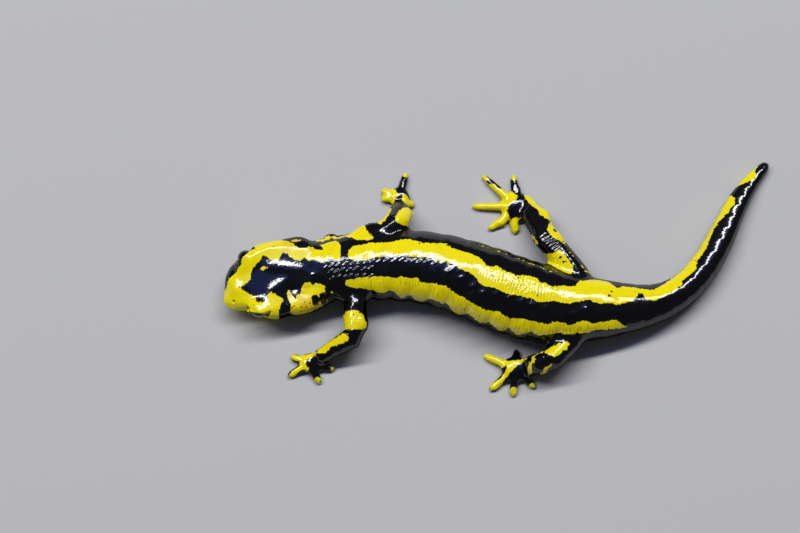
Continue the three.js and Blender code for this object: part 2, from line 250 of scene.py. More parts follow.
def on_spine(at, right, height):
    """The point at a distance behind the snout, to the right of the spine, at a height."""
    middle = np.array([np.interp(at, spine_at, spine_points[:, k]) for k in (0, 1)])
    heading = math.radians(profile(HEADING, np.array([float(at)]))[0])
    return np.array([
        middle[0] - math.sin(heading) * right,
        middle[1] + math.cos(heading) * right,
        height,
    ])


def set_closer(fine):
    """Halves the spacing of the chosen points, and gives back all the points and their links."""
    skin.verts.ensure_lookup_table()
    edges = [edge for edge in skin.edges if all(fine[v.index] for v in edge.verts)]
    bmesh.ops.subdivide_edges(skin, edges=edges, cuts=1, use_grid_fill=True)
    bmesh.ops.triangulate(skin, faces=skin.faces[:])
    skin.verts.index_update()
    return points_of(skin), links_of(skin)


# The head, the limbs and the beaded rows on the neck carry finer detail, so their points are
# set twice as close, and the beads' again.
at, right, around = places_of(points)
beads_place = (at > 28) & (at < 62) & (around > -8) & (around < 3.5)
faces_up = normals_of(skin)[:, 2] > -0.25
points, links = set_closer((is_head & faces_up) | (is_leg & faces_up) | is_digits | beads_place)
points = relaxed(points, links, 0.35, 3)
at, right, around = places_of(points)
three_rows = (at > 28.8) & (at < 44.6) & (around > -6.4) & (around < 1.8)
one_row = (at > 44) & (at < 61.5) & (around > -1.2) & (around < 1.3)
points, links = set_closer(three_rows | one_row)
at, right, around = places_of(points)
near_rows = (at > 28) & (at < 63) & (around > -7.2) & (around < 2.6)
points = relaxed(points, links, 0.45 * near_rows, 5)
is_digits, is_leg, _ = parts_under(points)
limb_share = blend_in(relaxed(is_digits | is_leg, links, 0.5, 8)[:, 0], 0.25, 0.75)
move_to(skin, points)
at, right, around = places_of(points)


def hump(values, middle, reach):
    """1 at the middle, falling away to nothing at about twice the reach."""
    return np.exp(-(((values - middle) / reach) ** 2))


def push_out(amount):
    """Moves the skin out by an amount in millimetres for each point, and never under the floor."""
    global points
    points = points + normals_of(skin) * np.asarray(amount)[:, None]
    points[:, 2] = np.maximum(points[:, 2], 0)
    move_to(skin, points)


# ---------------------------------------------------------------- fuller places
# Where the living form stands fuller than the plain solids, the skin is drawn out a little:
# place on the plan in mm from the snout, the draw, its reach, and the heights it works between.
FULLER_PLACES = [
    # snout, right cheek, throat at the jaw and the neck, right shoulder
    ((1.5, 4.4), (-0.1, 0), 2.5, (0, 12)), ((8.4, 13.4), (-0.2, 0.4), 2.5, (0, 12)),
    ((21.2, 16.6), (0, 0.9), 3.0, (0, 9.5)), ((29.4, 16.4), (-0.1, 1.7), 3.6, (0, 8)),
    ((39.6, 18.6), (-0.5, 2.2), 3.2, (0, 11)),
    # right forearm, front and rear; left upper arm
    ((47.1, 23), (-1.7, 0), 2.6, (0, 12)), ((52.6, 22.7), (0.9, 0.1), 2.4, (0, 12)),
    ((33.4, -9.4), (-0.5, 0), 2.4, (0, 12)), ((40, -9.8), (0.5, 0), 2.0, (0, 12)),
    # right shank and knee
    ((92.4, 23.4), (1.6, 0.8), 3.0, (0, 12)), ((88.7, 28.4), (1.7, 0.9), 2.6, (0, 12)),
    ((96.4, 17), (0.5, 0.3), 2.4, (0, 12)),
    ((91.0, 14.8), (-0.9, -0.2), 3.0, (0, 12)),
    # right foot: the web between the first toes, and behind the last
    ((80.6, 22.2), (0, -1.0), 1.6, (0, 4)), ((84.6, 19.6), (0.7, 0), 1.6, (0, 4)),
    ((85.8, 31.3), (0.8, 0.3), 1.6, (0, 5)),
    # tips of the tail and the digits
    ((156.3, 38), (0.9, 0.9), 2.2, (0, 12)),
    ((51.8, 35.9), (0.2, 1.0), 1.8, (0, 5)), ((75.3, 35.2), (-0.8, 0.75), 2.0, (0, 5)),
    ((72.1, 26.6), (-0.7, 0), 2.0, (0, 5)), ((83.6, 35), (0, 1.1), 1.8, (0, 5)),
    ((76.7, 20), (-0.4, -0.3), 2.0, (0, 5)), ((83.4, 19.1), (0.1, -0.5), 1.8, (0, 5)),
    ((26.5, -24.9), (0.5, -0.5), 1.6, (0, 5)), ((30.3, -21.5), (0.7, 0), 1.6, (0, 5)),
    ((78.5, -27), (-0.3, -0.4), 1.8, (0, 5)), ((88.8, -26.9), (0.4, -0.4), 1.6, (0, 5)),
]
# How far the tail's right side is drawn out, by distance behind the snout.
TAIL_FULLER = [(136, 0), (147, 0.6), (157, 1.1), (169, 1.1), (176, 0.8), (183, 0)]
DIGIT_FULLER = 0.2  # mm all round
plan = points[:, :2] - SNOUT_TIP
for middle, draw, reach_of_draw, (low, high) in FULLER_PLACES:
    near = np.exp(-((plan - middle) ** 2).sum(1) / reach_of_draw**2)
    near *= 1 - blend_in(points[:, 2], high - 1, high + 1)
    points[:, :2] += near[:, None] * np.array(draw)
inside_at = np.clip(at, 0, BODY_LENGTH)
turn = np.radians(profile(HEADING, inside_at))
right_side = np.stack([-np.sin(turn), np.cos(turn)], 1)
tail_draw = np.interp(at, *np.array(TAIL_FULLER, float).T)
tail_draw *= blend_in(right / profile(HALF_WIDTH, inside_at), -0.2, 0.9)
points[:, :2] += right_side * tail_draw[:, None]
move_to(skin, points)
push_out(DIGIT_FULLER * relaxed(is_digits, links, 0.5, 6)[:, 0])
at, right, around = places_of(points)

# ---------------------------------------------------------------- folds of the body
# Soft living folds: grooves between the ribs on both flanks, a fold across the throat, creases
# at the neck, and rings round the tail.
RIB_GROOVES = [42.5, 48.4, 54.5, 61.3, 67.6, 74.6, 81.2, 86.8, 92.9, 99.2]  # mm behind the snout
body_share = 1 - limb_share
flank = blend_in(abs(around), 5, 12) * (1 - blend_in(abs(around), 21, 26)) * body_share
ribs = sum(hump(at, groove, 0.8) for groove in RIB_GROOVES)
swells = sum(hump(at, (a + b) / 2, 2.2) for a, b in zip(RIB_GROOVES, RIB_GROOVES[1:]))
push_out(flank * (0.22 * swells - 0.34 * ribs) * np.where(around > 0, 0.45, 1))

throat = blend_in(abs(around), 9, 14) * body_share
push_out(-0.55 * throat * hump(at, 30.5, 0.7) - 0.3 * throat * hump(at, 34.5, 0.6))
tail_rings = sum(hump(at, ring, 0.55) for ring in np.arange(118, 178, 4.4))
tail_side = 0.05 + 0.95 * blend_in(abs(around), 2, 4.5)
push_out(-0.12 * tail_side * tail_rings * blend_in(at, 114, 122) * body_share)
push_out(-0.5 * hump(at, 113.5, 3.0) * hump(abs(around), 25, 0.6) * body_share)


def drift(points, size, seed):
    """Slow random swelling between -1 and 1, over about that size in millimetres."""
    shift = Vector((seed * 17.3, seed * 5.1, seed * 9.7))
    return np.array([noise.noise(Vector(p) / size + shift) for p in points])


unevenness = (1 - 0.6 * limb_share) * (1 - 0.88 * blend_in(at, 116, 130)) * (at > 3)
push_out(0.16 * drift(points, 7.0, 1) * unevenness)
push_out(0.08 * drift(points, 2.4, 2) * unevenness)

# ---------------------------------------------------------------- beads along the back
# Skin glands stand in three rows of small beads down the neck and shoulders, and as single beads
# further back. Each is a low slanted swelling; the real ones are finer and are drawn this coarse
# so that they show.
BEAD_PITCH = 1.95
BEAD_HEIGHT = 0.1
BEAD_TURN = math.radians(40)
BEAD_CREST = -0.3  # where a bead is highest, from -1 at its left edge to 1 at its right


def raise_beads(places, long, wide, height):
    """Low wedges turned across the body, steep to the left and easy to the right.

    Long and wide are half the wedge's length and width.
    """
    amount = np.zeros(len(points))
    for bead_at, bead_around in places:
        near = np.flatnonzero((abs(at - bead_at) < 3) & (abs(around - bead_around) < 3))
        ahead, aside = at[near] - bead_at, around[near] - bead_around
        length = (ahead * math.cos(BEAD_TURN) + aside * math.sin(BEAD_TURN)) / long
        width = (aside * math.cos(BEAD_TURN) - ahead * math.sin(BEAD_TURN)) / wide
        across = np.minimum((1 - width) / (1 - BEAD_CREST), (1 + width) / (1 + BEAD_CREST))
        wedge = height * np.clip(across, 0, 1) * np.maximum(1 - length**2, 0)
        amount[near] = np.maximum(amount[near], wedge)
    push_out(amount * body_share)


bead_rows = []
for row, (aside, first, last) in enumerate([(2.5, 29.5, 70), (0, 30.5, 43), (-2.6, 30.5, 43.5)]):
    bead_rows.append([])
    for number, bead_at in enumerate(np.arange(first, last, BEAD_PITCH)):
        sway = 0.18 * math.sin(3.1 * number + 2 * row)
        middle = np.interp(bead_at, [30, 40, 60], [-1.9, -2.7, -2.3])
        bead_rows[row].append((bead_at + 0.3 * math.sin(5.3 * number + row), middle + aside + sway))
for row, height_share in enumerate((1.0, 1.9, 3.2)):
    raise_beads(bead_rows[row], 1.2, 0.46, BEAD_HEIGHT * height_share)
SINGLE_BEADS = [
    (65.5, -1.2), (69.5, -2.2), (73.3, -3.6), (76.8, -4.4), (80.2, -3.4), (83.9, -3.4),
    (87.4, -3.2), (90.8, -2.9), (94.4, -2.8), (73.8, -6.4), (99.2, -4.6), (102.3, -3.5),
    (105.3, -1.6), (108.2, -4.3),
]
raise_beads(SINGLE_BEADS, 1.5, 1.1, 0.34)
raise_beads([(25.5, -1.5)], 0.7, 0.6, 0.2)

# ---------------------------------------------------------------- head
# A broad flat head: a mouth line all round the snout, two nostrils, smooth brows that run into
# thick lids over the eyes, and a long gland swelling behind each eye.
EYE_AT, EYE_ASIDE, EYE_HEIGHT, EYE_RADIUS = 8.1, 7.5, 8.6, 2.5
GLAND_AT, GLAND_ASIDE, GLAND_LONG, GLAND_WIDE = 21.0, 7.9, 6.9, 3.3
GLAND_TURN = math.radians(5)
LID_DROP = {1: math.radians(14), -1: math.radians(42)}

# The upper lip is fuller at the left of the snout.
forward_at_snout = np.array([math.cos(spine_heading[0]), math.sin(spine_heading[0]), 0])
front = 1 - blend_in(at, 0.5, 4.5)
fullness = 1.6 * hump(right, -2.6, 2.6) + 0.9 * hump(right, -5, 1.8)
points -= forward_at_snout * (front * fullness)[:, None]
move_to(skin, points)

mouth_height = np.interp(at, [0, 10, 15.5], [5.2, 4.9, 4.4])
steep = 1 - blend_in(abs(normals_of(skin)[:, 2]), 0.72, 0.95)
gape = steep * (1 - blend_in(at, 14.5, 16.5))
from_mouth = points[:, 2] - mouth_height
push_out(gape * (
    0.26 * hump(from_mouth, 0.85, 0.6) + 0.16 * hump(from_mouth, -0.8, 0.6)
    - 0.5 * hump(from_mouth, 0, 0.26)
))

nostrils = []
eye_heading = spine_heading[int(EYE_AT / SPINE_STEP)]
for side in (-1, 1):
    nostrils.append(((points - on_spine(1.6, side * 3.2, 7.0)) ** 2).sum(1).argmin())

    eye_middle = on_spine(EYE_AT, side * EYE_ASIDE, EYE_HEIGHT)
    from_eye = np.sqrt(((points - eye_middle) ** 2).sum(1))
    push_out(0.24 * hump(from_eye, 3.0, 0.32))
    # The upper lid is drawn down over the ball by turning it about the ball's middle.
    outward = np.array([-math.sin(eye_heading), math.cos(eye_heading), 0]) * side
    arm = points - eye_middle
    swing = np.arctan2(arm @ outward, arm[:, 2])
    reach = np.hypot(arm @ outward, arm[:, 2])
    lowered = LID_DROP[side] * (1 - blend_in(from_eye, 3.1, 5.6)) * (
        1 - blend_in(swing, math.radians(80), math.radians(125))
    ) * blend_in(swing, math.radians(-60), math.radians(10))
    swing_to = swing + lowered
    points += outward * (reach * (np.sin(swing_to) - np.sin(swing)))[:, None]
    points[:, 2] += reach * (np.cos(swing_to) - np.cos(swing))
    move_to(skin, points)
    gland_along = (at - GLAND_AT) * math.cos(GLAND_TURN) / GLAND_LONG
    gland_aside = (right * side - GLAND_ASIDE) / GLAND_WIDE
    gland_edge = np.sqrt(gland_along**2 + gland_aside**2)
    upper = (points[:, 2] > 6.5) & (around * side > 0)
    push_out(upper * (0.18 * hump(gland_edge, 0.55, 0.4) - 0.12 * hump(gland_edge, 1.15, 0.16)))
push_out(0.2 * hump(at, 10.4, 2.0) * hump(around, 11.6, 2.6))

# The brow runs from the snout over the lid to the gland. At places along the head in mm: the
# height of the crown between the brows, then for each side (1 is the right) the height of the
# brow's crest, how far from the middle it runs, and how steeply it falls away outside.
BROW_AT = [1.5, 3, 4, 5, 6, 7, 8, 10, 12, 14, 16, 19, 22, 25, 28]
CROWN = [8.5, 9.2, 9.4, 9.6, 9.95, 10.3, 10.6, 11.1, 11.5, 11.8, 12, 12.3, 12.4, 12.45, 12.4]
BROW_CREST = {
    1: [8.5, 9.2, 9.4, 9.85, 10.5, 11.05, 11.4, 11.75, 11.8, 11.85, 11.95, 12.2, 12.35, 12.35, 12.2],
    -1: [8.45, 9.15, 9.55, 10.1, 10.9, 11.5, 11.8, 11.9, 11.85, 11.8, 11.9, 12.15, 12.2, 12.1, 12],
}
BROW_ASIDE = {
    1: [1, 1.2, 1.8, 4, 5.4, 6, 6.4, 7.4, 8.3, 8.6, 8.5, 8.1, 7.3, 6.3, 6],
    -1: [3, 4, 5.2, 6.6, 7.8, 8.6, 9, 9, 8.8, 8.4, 8.2, 8, 8, 8, 8],
}
BROW_FALL = {
    1: [0.08, 0.07, 0.07, 0.1, 0.18, 0.18, 0.16, 0.3, 0.5, 0.5, 0.36, 0.26, 0.18, 0.13, 0.13],
    -1: [0.2, 0.25, 0.3, 0.35, 0.35, 0.3, 0.35, 0.35, 0.3, 0.2, 0.15, 0.1, 0.1, 0.1, 0.1],
}
BROW_END = {1: (24, 28), -1: (16, 19)}  # where the shaping fades out
LID_THICKNESS = 0.5
at, right, around = places_of(points)
normals = normals_of(skin)
brow_height = points[:, 2].copy()
brow = np.zeros(len(points))
for side in (-1, 1):
    aside = right * side
    crown = np.interp(at, BROW_AT, CROWN)
    crest = np.interp(at, BROW_AT, BROW_CREST[side])
    line = np.interp(at, BROW_AT, BROW_ASIDE[side])
    fall = np.interp(at, BROW_AT, BROW_FALL[side])
    rise = blend_in(aside, 0.4 * line, line)
    wanted = np.where(aside < line, crown + (crest - crown) * rise, crest - fall * (aside - line) ** 2)
    eye_middle = on_spine(EYE_AT, side * EYE_ASIDE, EYE_HEIGHT)
    arm = points - eye_middle
    from_eye = np.sqrt((arm**2).sum(1))
    lid_reach = (EYE_RADIUS + LID_THICKNESS) ** 2 - arm[:, 0] ** 2 - arm[:, 1] ** 2
    over_eye = EYE_HEIGHT + np.sqrt(np.maximum(lid_reach, 0))
    wanted = np.where(lid_reach > 0, np.maximum(wanted, over_eye), wanted)
    # The socket and the opening keep their form.
    outward = on_spine(EYE_AT, side * (EYE_ASIDE + 1), EYE_HEIGHT) - eye_middle
    swing = np.arctan2(arm @ outward, arm[:, 2])
    opening = blend_in(swing, math.radians(45), math.radians(70))
    opening *= 1 - blend_in(np.maximum(from_eye - 1, abs(at - EYE_AT)), 2.4, 3.1)
    faces_out = blend_in((arm * normals).sum(1) / from_eye, 0.1, 0.4)
    share = blend_in(at, 0.6, 2.2) * (1 - blend_in(at, *BROW_END[side]))
    share *= blend_in(points[:, 2], 6, 7.6) * (1 - opening) * np.where(from_eye < 3.4, faces_out, 1)
    this_side = aside > 0
    brow_height[this_side] = wanted[this_side]
    brow[this_side] = share[this_side]
points[:, 2] += brow * (brow_height - points[:, 2])
softened = relaxed(brow, links, 0.5, 4)[:, 0]
for side in (-1, 1):
    from_eye = np.sqrt(((points - on_spine(EYE_AT, side * EYE_ASIDE, EYE_HEIGHT)) ** 2).sum(1))
    softened *= blend_in(from_eye, 2.8, 3.6)
points = relaxed(points, links, 0.4 * softened, 14)
move_to(skin, points)
push_out(0.5 * hump(at, 3.6, 2.4) * hump(right, -0.4, 2.2) * (points[:, 2] > 7))
push_out(-0.8 * hump(at, 4.4, 2.2) * hump(around, -12.5, 4))
for nostril in nostrils:
    reach = np.sqrt(((points - points[nostril]) ** 2).sum(1))
    push_out(0.12 * hump(reach, 0.75, 0.3) - 0.4 * hump(reach, 0, 0.36))

# Two low ridges of the skull run back over the crown and close up behind it.
for first, last, from_right, to_right in ((12, 24.5, 4, 0.4), (12, 19.5, -4, -0.8)):
    ridge = np.interp(at, [first, last], [from_right, to_right])
    along = blend_in(at, first - 1.5, first + 2) * (1 - blend_in(at, last - 3, last + 1.5))
    push_out(0.26 * hump(right, ridge, 1.7) * along)

# ---------------------------------------------------------------- limbs
# Short stout limbs with wrinkled elbows and knees. Each has a path from the body through its
# bend and ankle to the palm, led by the depth of its wrinkles.
LIMBS = {
    "right fore": (0.03, [(41.5, 6), (50.2, 20.4), (50.4, 26.6), (50.0, 29.2)]),
    "left fore": (0.1, [(37.5, -6), (37.3, -12.6), (26.6, -18.5), (24.1, -19.8)]),
    "right hind": (0.18, [(106.5, 5), (94.0, 14.4), (87.3, 24.8), (84.4, 26.4)]),
    "left hind": (0.13, [(105, -4.5), (93.3, -20.0), (87.0, -21.1), (83.5, -21.6)]),
}
limb_along = np.zeros(len(points))
from_bend = np.full(len(points), 99.0)
plan = points[:, :2] - SNOUT_TIP
nearest_path = np.full(len(points), 99.0)
wrinkle_depth = np.zeros(len(points))
for depth, path in LIMBS.values():
    root = on_spine(path[0][0], path[0][1], 0)[:2] - SNOUT_TIP
    path = [root] + [np.array(joint) for joint in path[1:]]
    walked = 0
    for start, end in zip(path, path[1:]):
        length = math.dist(start, end)
        share = np.clip(((plan - start) @ (end - start)) / length**2, 0, 1)
        reach = np.sqrt(((plan - start - share[:, None] * (end - start)) ** 2).sum(1))
        closer = reach < nearest_path
        nearest_path[closer] = reach[closer]
        wrinkle_depth[closer] = depth
        limb_along[closer] = walked + share[closer] * length
        walked += length
    from_bend = np.minimum(from_bend, np.sqrt(((plan - path[1]) ** 2).sum(1)))
knuckle = limb_share * hump(from_bend, 0, 2.6)
push_out(-wrinkle_depth * knuckle * (0.5 + 0.5 * np.cos(2 * math.pi * limb_along / 1.05)) ** 2)
push_out(0.06 * limb_share * (1 - is_digits) * drift(points, 1.3, 5))

# ---------------------------------------------------------------- marks on the body
# Yellow marks on black skin, as the living animal's. Each outline is a closed line of places
# (behind the snout, round from the middle of the back) in millimetres; a point of the skin
# holds how far inside the nearest mark it lies, so an edge stays sharp between points.
RIGHT_BAND = [
    (-3, -0.6), (0.3, -0.6), (4.7, -0.4), (6.3, 0.4), (7.4, 1.5),
    (8.2, 3.2), (8.5, 5), (9.2, 6.2), (10.8, 7.3), (12, 8), (12.6, 8.6), (13.6, 8.4),
    (14.4, 7.2), (16, 6.9), (16.9, 7.9), (17.6, 8.9), (18.2, 9.1), (19.2, 8.8), (19.5, 7.9),
    (20.6, 6.8), (22, 6), (22.6, 5.9), (24.2, 6.5), (25.3, 5), (26.1, 4.6), (27, 4.8),
    (28, 4.4), (28.8, 3.3), (29.5, 3.3), (31.3, 3.7), (32.2, 3),
    (33.4, 1.5), (33.8, 2.7), (34.5, 3.9), (34.8, 5.9), (34.8, 7.6), (34.7, 9.2), (34.3, 10),
    (33.3, 10.5), (30.5, 10.4), (29.6, 10.7), (29.3, 10.2), (29.9, 8.7), (29.7, 8), (29.1, 7.9),
    (28.2, 9), (26.8, 9.6), (24.4, 9.5), (23.1, 9.6), (20.9, 11.6), (19.6, 12.4), (18, 13.2),
    (17, 14), (16, 16.5), (13.5, 18.2), (10, 18), (7.5, 16.5), (8.6, 14.8), (9.9, 14.2),
    (10.7, 12.8), (10.4, 11.5), (9.6, 10.6), (8.7, 9.5), (7.9, 8.9), (7, 8.3), (6.2, 7.9),
    (5.2, 7.8), (4, 7.6), (1.5, 7.9),
    (0.3, 7), (-3, 7),
]
LEFT_CHEEK = [
    (4.7, 0), (5.2, -3.2), (6.3, -5), (7.3, -5.6), (7.9, -6.5), (8, -7.3), (8.5, -7.8),
    (9.6, -8), (10.6, -8), (11.4, -7.7), (11.9, -6.8), (12.5, -6.2), (13.2, -6.1),
    (14.4, -7.5), (15.4, -8.2), (16.4, -8.9), (16.2, -9.8), (15.3, -10.1), (14.6, -11.1),
    (14.2, -13.2), (14.2, -15.6),
    (13, -17.6), (8, -18), (-3, -18), (-3, 0),
]
LEFT_GLAND = [
    (17.4, -8.2), (18.1, -7.1), (18.6, -7.1), (19, -8.1), (20, -9.5), (21.4, -7.9),
    (22.8, -4.9), (23.3, -4.5), (23.8, -4.9), (24.4, -4.8), (25.1, -6.2), (26.2, -5.3),
    (26.8, -6), (28, -6.8), (28.2, -7.6), (28, -8.6), (27.9, -9.4), (28.4, -11.5), (27.6, -13.4),
    (23, -15.2), (19.2, -16), (18.6, -14), (18.1, -13.2), (18, -12), (18.4, -10.4),
    (17.6, -9.1),
]
RIGHT_SLIVER = [
    (20.1, 12.5), (20.5, 12.1), (22.2, 11.7), (23.5, 12), (24.1, 12.5), (22, 13),
]
RIGHT_SHOULDER = [
    (29, 12.7), (33, 12.3), (36.6, 11.6), (37.3, 10.8), (40, 8.8), (41.8, 8.3), (43.4, 8.6),
    (43.8, 9.4), (42.3, 12), (41.5, 15.5), (39, 15.5), (37.3, 13.2), (29, 13.5),
]
RIGHT_STRIPE_OUTER = [
    (36.3, 3.8), (37.1, 6.2), (38.5, 6.8), (41.7, 6.9), (42.7, 7.3), (44.9, 7), (46.6, 7),
    (51.9, 8.1), (53.4, 8.1), (57.5, 7), (58.8, 7), (63.2, 8.3), (64.5, 6.8), (68.8, 7),
    (71.1, 6.8), (72.2, 6.9), (75.2, 4.8), (76.3, 5), (77.8, 5.9), (78.7, 5.8), (80, 5.3),
    (84.8, 5.5), (87.1, 6.8), (88.5, 6.9), (90.3, 6.5), (91.6, 5.8), (92.8, 5.8), (95.5, 5.1),
    (98.4, 6), (101.5, 6.3), (102.7, 6.6), (103.2, 8), (104.4, 9.1), (105.8, 9.3), (107.3, 10),
    (109, 10.3), (112, 9.9), (113.2, 9.3), (113.9, 7.9), (115.7, 6), (116.7, 6.9), (117.7, 7.4),
    (118.6, 6.8), (122, 6), (123.3, 5.2), (126, 4.2), (127.5, 4), (133.6, 5.2), (136, 6.2),
    (143, 6.6), (160, 5.6), (167.8, 4.8),
]
RIGHT_STRIPE_INNER = [
    (36.4, 2.9), (36.9, 1.9), (37.6, 1.1), (38.9, 0.7), (40.8, 0.6), (43.5, 1.2), (46.1, 1.4),
    (48.3, 2.3), (49.4, 2.2), (50.3, 1.6), (51.4, 1.5), (52.7, 2.1), (55.3, 1.3), (58.6, 1.9),
    (61.5, 1.2), (66, 1.2), (68.2, 0.5), (71.2, 0.2), (72.5, -0.2), (75.6, -2.1), (76.6, -2.3),
    (80.6, -1.8), (83.9, -2), (85.4, -1.6), (88.3, -1.4), (90, -1), (91.7, -1.5), (93.3, -1.5),
    (94.6, -1), (95.4, -0.4), (96.9, -0.1), (99.8, -0.3), (101.4, 0), (105.8, 1.4),
    (107.1, 1.5), (109.1, 0.5), (110.2, 0.3), (112.9, 0.6), (114, 0.1), (115.4, 0),
    (117.8, 0.8), (119.9, 0.9), (120.2, 1.6), (120.9, 1.9), (121.4, 3.3), (121.9, 3.8),
    (122.6, 3.5), (123.2, 2.9), (123.4, 1.8), (123.9, 0.8), (124.7, 0.4), (126, 0.2),
    (129.4, 0.4), (135, 1), (136, 1.2), (136.7, 1.9), (137.8, 1.9), (139.3, 1.6), (142.6, 1.7),
    (143.6, 2.1), (144.4, 2.7), (145.6, 2.9), (147.5, 2.8), (150, 2.9), (153, 3.2),
    (155.5, 3.5), (158, 3.3), (159.4, 3), (161, 2.5), (162.6, 1.9), (164.2, 1.6),
    (166.6, 1.2), (168, 1.8), (168.6, 3.2),
]
LEFT_STRIPE_UPPER = [
    (34.3, -7.2), (35, -6.3), (39.1, -5.5), (42.4, -5.8), (44, -5.5), (48.8, -6), (50.4, -5.9),
    (51.5, -5.3), (53.8, -6), (56.4, -5.5), (57.3, -5.8), (57.5, -6.7), (58.6, -6.9),
    (62.9, -6.3), (66.1, -6.3), (68.8, -7.5), (72.1, -7.9), (75.2, -8.9), (79.6, -9.3),
    (81.2, -9.2), (82.5, -8.5), (86.3, -9.6), (87.4, -9.4), (88.4, -8.6), (89.7, -8.3),
    (94.2, -8.4), (96.8, -7.9), (97, -7.1), (98.2, -6.7), (102, -7.3), (103, -6.8), (104, -6),
    (105.3, -5.5), (106.6, -5.5), (107.4, -6), (108.7, -6.1), (114.4, -4.8), (115.2, -5.4),
    (116, -6.4), (117, -7.3), (117.6, -7.8),
]
LEFT_STRIPE_LOWER = [
    (34.4, -7.6), (35, -8.4), (36.2, -9), (40.7, -9.9), (42.2, -10.7), (43.6, -10.5),
    (45, -11.3), (47, -11.2), (48.4, -10.8), (49.8, -11.2), (51.6, -13.4), (52.8, -13.3),
    (53.8, -12.6), (55.2, -12.4), (56, -13.5), (57.4, -14.2), (59.8, -14.2), (62.2, -12),
    (63.8, -11.9), (66.6, -12.8), (67.5, -12.1), (71.4, -15.8), (72.6, -15.4), (73.5, -14.4),
    (76, -13.8), (77.2, -14.7), (78.9, -15.3), (80.2, -14.9), (81.3, -13.8), (82.6, -14.4),
    (84.1, -15.5), (85.4, -15.6), (86.1, -14.7), (86.6, -13.5), (87.6, -13.9), (88.8, -15),
    (89.7, -14.9), (90.4, -14), (91.6, -13), (92.5, -12.6), (93.4, -13.1), (94.7, -13),
    (97.2, -11.4), (98.4, -11.1), (102.5, -10.5), (103.7, -10), (104.9, -10.1), (106, -9.8),
    (107.4, -9.2), (108.8, -8.7), (110.2, -8.5), (113.2, -8.2), (116, -8.2),
]
TAIL_TIP = [
    (171.2, 3.4), (173.2, 1.7), (175.2, 0.5), (177, 0), (177.8, 0), (178, 0.5), (178, 1.1),
    (180.4, 1.6), (180.4, 2.6), (178, 3.4), (173, 4.2),
]
BODY_MARKS = [
    RIGHT_BAND, LEFT_CHEEK, LEFT_GLAND, RIGHT_SLIVER, RIGHT_SHOULDER, TAIL_TIP,
    RIGHT_STRIPE_OUTER + RIGHT_STRIPE_INNER[::-1],
    LEFT_STRIPE_UPPER + LEFT_STRIPE_LOWER[::-1],
]
# Round spots: behind the snout, round from the back, half length, half width.
BODY_SPOTS = [(12.1, 5.0, 1.0, 0.62), (5.2, 10.6, 0.6, 0.4), (30.1, -9.4, 0.6, 0.45)]
BLACK_SPOTS = [
    (25, -10.7, 0.95, 1.25), (27, -11.1, 1.05, 2.1), (63, 7.4, 0.35, 0.3),
    (91.6, 0, 0.2, 0.5), (112.8, 3.3, 0.3, 0.25), (113.5, 5, 0.25, 0.3), (104.7, -8, 0.3, 0.3),
]
# Open thin lines: half width, then places.
BODY_LINES = [
    (0.15, [(71, 12.4), (78, 12.1), (86, 12.2), (90, 12), (94.7, 10.8)]),
    (0.15, [(105, 11.2), (108.5, 11.9), (112, 12.1)]),
    (0.35, [(28.6, 13.6), (32, 13.2), (37, 12.6)]),
]


def inside_outline(places, outline):
    """How far inside a closed outline each place lies; outside it is less than nothing."""
    start = np.array(outline, float)
    end = np.roll(start, -1, 0)
    squared = np.full(len(places), np.inf)
    inside = np.zeros(len(places), bool)
    for (ax, ay), (bx, by) in zip(start, end):
        px, py = places[:, 0] - ax, places[:, 1] - ay
        ex, ey = bx - ax, by - ay
        t = np.clip((px * ex + py * ey) / (ex * ex + ey * ey), 0, 1)
        squared = np.minimum(squared, (px - t * ex) ** 2 + (py - t * ey) ** 2)
        if ay != by:
            crosses = (ay > places[:, 1]) != (by > places[:, 1])
            inside ^= crosses & (px < ex * py / ey)
    return np.where(inside, 1, -1) * np.sqrt(squared)


def inside_spot(places, spot):
    x, y, long, wide = spot
    reach = np.sqrt(((places[:, 0] - x) / long) ** 2 + ((places[:, 1] - y) / wide) ** 2)
    return (1 - reach) * min(long, wide)


def inside_line(places, half_width, line):
    reach = np.full(len(places), np.inf)
    for start, end in zip(np.array(line[:-1], float), np.array(line[1:], float)):
        step = end - start
        share = np.clip((places - start) @ step / (step @ step), 0, 1)
        gap = places - start - share[:, None] * step
        reach = np.minimum(reach, np.sqrt((gap**2).sum(1)))
    return half_width - reach


at, right, around = places_of(points)
plan = points[:, :2] - SNOUT_TIP
body_places = np.stack([at, around], 1)
body_yellow = np.max(
    [inside_outline(body_places, outline) for outline in BODY_MARKS]
    + [inside_spot(body_places, spot) for spot in BODY_SPOTS]
    + [inside_line(body_places, wide, line) for wide, line in BODY_LINES],
    axis=0,
)
for nostril in nostrils:
    reach = np.sqrt(((points - points[nostril]) ** 2).sum(1))
    body_yellow = np.minimum(body_yellow, reach - 0.34)
for spot in BLACK_SPOTS:
    body_yellow = np.minimum(body_yellow, -inside_spot(body_places, spot))

